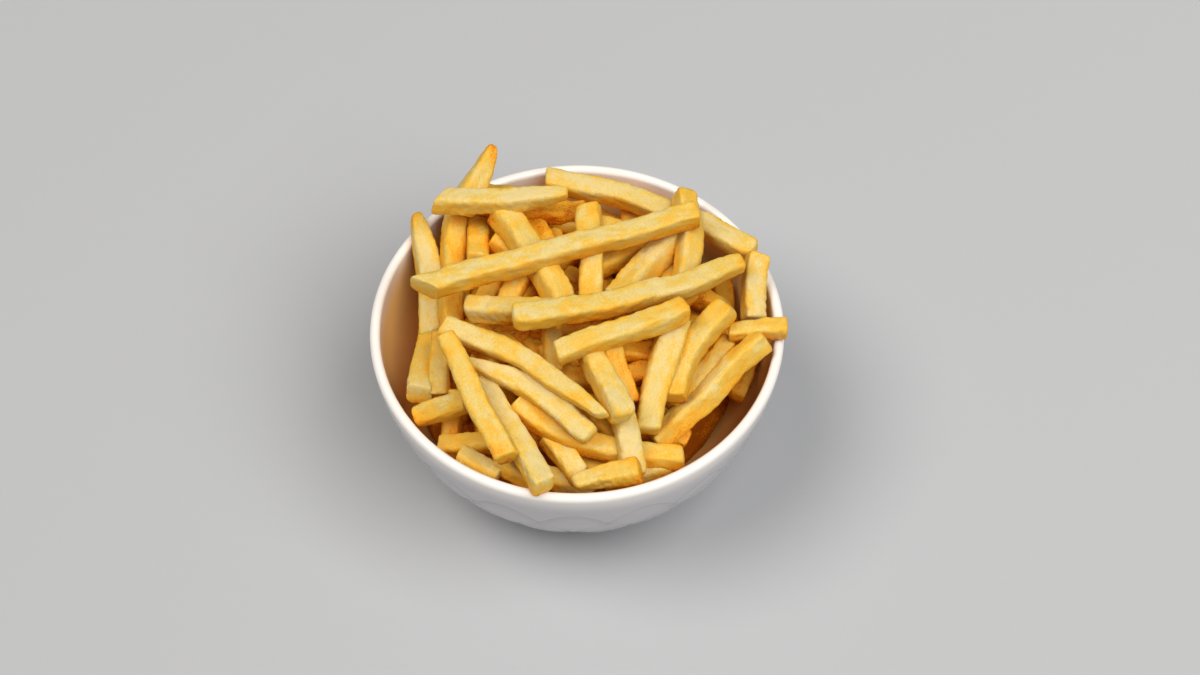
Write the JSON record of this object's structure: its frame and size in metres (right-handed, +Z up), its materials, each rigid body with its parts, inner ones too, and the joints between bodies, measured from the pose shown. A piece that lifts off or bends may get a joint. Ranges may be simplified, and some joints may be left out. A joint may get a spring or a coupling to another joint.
{
  "type": "french fries portion in a bowl",
  "caption": "Heap of straight-cut French fries in a small round white porcelain bowl with a plain rim and rows of arched scales round its outside.",
  "frame": {"origin": "on the bowl's axis, on the table under its foot ring", "axes": "+Z up along the bowl's axis, -Y to the front, +X to the right"},
  "size_m": [0.1408, 0.14, 0.0936],
  "materials": {
    "porcelain": "clear-glazed white porcelain, gloss",
    "fried_potato": "deep-fried potato, matt to satin with browned edges"
  },
  "bodies": {
    "root": {"bowl": "porcelain", "fries": "fried_potato"}
  },
  "joints": []
}
